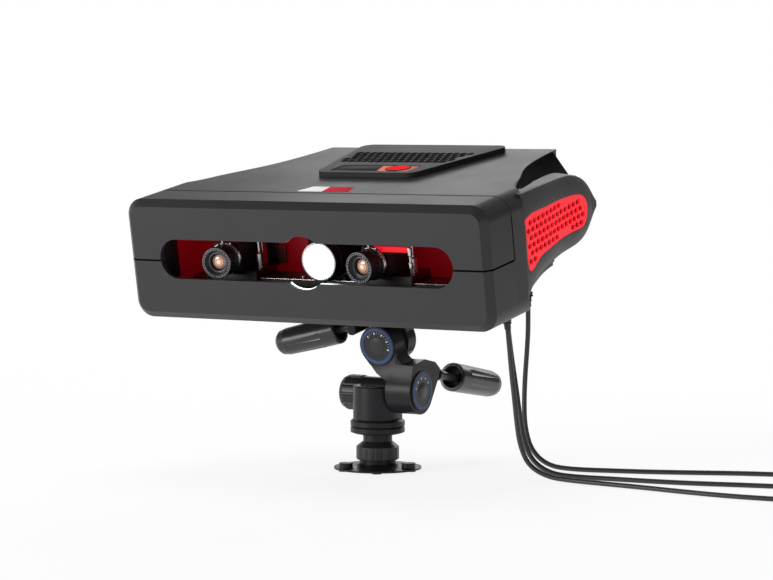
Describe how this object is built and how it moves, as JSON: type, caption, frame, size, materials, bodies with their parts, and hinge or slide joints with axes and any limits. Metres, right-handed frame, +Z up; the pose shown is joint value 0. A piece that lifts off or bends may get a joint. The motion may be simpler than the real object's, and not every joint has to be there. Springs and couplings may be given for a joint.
{
  "type": "desktop 3d scanner",
  "caption": "Desktop structured-light 3D scanner with a hinged front hood, projector and camera pair, on a three-way pan and tilt head with cords.",
  "frame": {"origin": "on the head column's axis, at the mouth of the tripod socket in the base's underside", "axes": "+Z up along the column, -Y the way the scanner looks, +X towards the tilt drum and the cords"},
  "size_m": [0.77, 0.3185, 0.3318],
  "materials": {
    "shell_black": "fine textured black housing plastic",
    "vent_black": "dark moulded plate",
    "grille_red": "moulded red plastic",
    "liner_red": "red painted sheet",
    "head_casting": "black anodised casting",
    "collar_plastic": "black ribbed plastic",
    "grip_plastic": "soft-touch black plastic",
    "dial_plastic": "black disc with a blue rim",
    "steel": "bright steel",
    "steel_black": "blackened steel",
    "foot_rubber": "soft rubber",
    "rail_grey": "plain machined aluminium",
    "optics_black": "black anodised aluminium",
    "lens_glass": "amber coated lens",
    "lamp_glass": "bright projector lens",
    "board_green": "green circuit board",
    "gland_black": "black moulded rubber",
    "cord_black": "black flexible jacket"
  },
  "bodies": {
    "stand": {"base_shoulder": "head_casting", "column_core": "head_casting", "rubber_feet": "foot_rubber", "pan_disc": "head_casting"},
    "collar": {"column_collar": "collar_plastic"},
    "pan": {"pan_body": "head_casting", "tilt_axle": "steel"},
    "pan_knob": {"pan_knob": "collar_plastic"},
    "bracket": {"tilt_bracket": "head_casting", "dial_caps": "dial_plastic", "data_cord_left": "cord_black", "data_cord_right": "cord_black", "power_cord": "cord_black", "data_cord_left_coil": "cord_black", "data_cord_right_coil": "cord_black", "power_cord_coil": "cord_black", "cord_plugs": "gland_black"},
    "tilt_handle": {"tilt_handle_rod": "steel_black", "tilt_handle_grip": "grip_plastic"},
    "head": {"roll_platform": "head_casting", "roll_axle": "steel", "quick_plate": "head_casting", "plate_screw": "steel", "mounting_plate": "steel_black", "lower_shell": "shell_black", "main_shell": "shell_black", "side_pod_left": "shell_black", "side_pod_right": "shell_black", "grille_left": "grille_red", "grille_right": "grille_red", "vent_plate": "vent_black", "red_liner": "liner_red", "rear_panel": "shell_black", "optical_rail": "rail_grey", "projector_body": "optics_black", "projector_barrel": "optics_black", "projector_glass": "lamp_glass", "control_board": "board_green", "fan_frame": "optics_black", "cable_glands": "gland_black", "shell_screws": "steel", "hinge_pins": "steel"},
    "roll_handle": {"roll_handle_rod": "steel_black", "roll_handle_grip": "grip_plastic"},
    "hood": {"front_hood": "shell_black"},
    "fan": {"fan_rotor": "optics_black"},
    "power_button": {"power_button": "optics_black"},
    "projector_ring": {"projector_focus_ring": "optics_black"},
    "carriage_left": {"carriage_left": "rail_grey"},
    "clamp_left": {"clamp_screw_left": "steel"},
    "camera_left": {"camera_left": "optics_black", "lens_barrel_left": "optics_black", "lens_glass_left": "lens_glass"},
    "focus_left": {"focus_ring_left": "optics_black"},
    "carriage_right": {"carriage_right": "rail_grey"},
    "clamp_right": {"clamp_screw_right": "steel"},
    "camera_right": {"camera_right": "optics_black", "lens_barrel_right": "optics_black", "lens_glass_right": "lens_glass"},
    "focus_right": {"focus_ring_right": "optics_black"}
  },
  "joints": [
    {"name": "pan", "type": "hinge", "parent": "stand", "child": "pan", "pos_m": [0, 0, 0.048], "axis": [0, 0, 1], "continuous": true},
    {"name": "collar_twist", "type": "hinge", "parent": "stand", "child": "collar", "pos_m": [0, 0, 0.018], "axis": [0, 0, 1], "range_deg": [-90, 90]},
    {"name": "pan_knob_twist", "type": "hinge", "parent": "pan", "child": "pan_knob", "pos_m": [-0.028, 0.027, 0.0747], "axis": [-1, 0, 0], "range_deg": [-180, 180]},
    {"name": "tilt", "type": "hinge", "parent": "pan", "child": "bracket", "pos_m": [0, 0, 0.0832], "axis": [1, 0, 0], "range_deg": [-30, 25]},
    {"name": "roll", "type": "hinge", "parent": "bracket", "child": "head", "pos_m": [0.012, 0.00196, 0.13287], "axis": [0, 0.9846, 0.1749], "range_deg": [-25, 25], "deforming": ["data_cord_left", "data_cord_right", "power_cord"]},
    {"name": "tilt_handle_twist", "type": "hinge", "parent": "bracket", "child": "tilt_handle", "pos_m": [0.046, 0.04, 0.097], "axis": [0, 0.9853, -0.171], "range_deg": [-180, 180]},
    {"name": "roll_handle_twist", "type": "hinge", "parent": "head", "child": "roll_handle", "pos_m": [-0.0205, -0.012, 0.1479], "axis": [-0.9718, 0, -0.236], "range_deg": [-180, 180]},
    {"name": "hood_open", "type": "hinge", "parent": "head", "child": "hood", "pos_m": [0, -0.10337, 0.28561], "axis": [-1, 0, 0], "range_deg": [0, 75]},
    {"name": "fan_spin", "type": "hinge", "parent": "head", "child": "fan", "pos_m": [-0.062, 0.13299, 0.2701], "axis": [0, 0.9846, 0.1749], "continuous": true},
    {"name": "power_press", "type": "slide", "parent": "head", "child": "power_button", "axis": [0, -0.9846, -0.1749], "range_m": [0, 0.0025], "stiffness_N_per_m": 300},
    {"name": "projector_focus", "type": "hinge", "parent": "head", "child": "projector_ring", "pos_m": [0, -0.09601, 0.22131], "axis": [0, 0.9846, 0.1749], "range_deg": [-60, 60]},
    {"name": "carriage_left_slide", "type": "slide", "parent": "head", "child": "carriage_left", "axis": [1, 0, 0], "range_m": [-0.02, 0.025]},
    {"name": "clamp_left_twist", "type": "hinge", "parent": "carriage_left", "child": "clamp_left", "pos_m": [-0.08928, -0.08175, 0.20962], "axis": [0, -0.1749, 0.9846], "range_deg": [-180, 180]},
    {"name": "camera_left_yaw", "type": "hinge", "parent": "carriage_left", "child": "camera_left", "pos_m": [-0.11628, -0.08465, 0.22332], "axis": [0, -0.1749, 0.9846], "range_deg": [-8, 8]},
    {"name": "focus_left_turn", "type": "hinge", "parent": "camera_left", "child": "focus_left", "pos_m": [-0.11099, -0.1217, 0.21674], "axis": [-0.1392, 0.975, 0.1731], "range_deg": [-100, 100]},
    {"name": "carriage_right_slide", "type": "slide", "parent": "head", "child": "carriage_right", "axis": [1, 0, 0], "range_m": [-0.008, 0.04]},
    {"name": "clamp_right_twist", "type": "hinge", "parent": "carriage_right", "child": "clamp_right", "pos_m": [0.09208, -0.08175, 0.20962], "axis": [0, -0.1749, 0.9846], "range_deg": [-180, 180]},
    {"name": "camera_right_yaw", "type": "hinge", "parent": "carriage_right", "child": "camera_right", "pos_m": [0.06508, -0.08465, 0.22332], "axis": [0, -0.1749, 0.9846], "range_deg": [-8, 8]},
    {"name": "focus_right_turn", "type": "hinge", "parent": "camera_right", "child": "focus_right", "pos_m": [0.05979, -0.1217, 0.21674], "axis": [0.1392, 0.975, 0.1731], "range_deg": [-100, 100]}
  ]
}
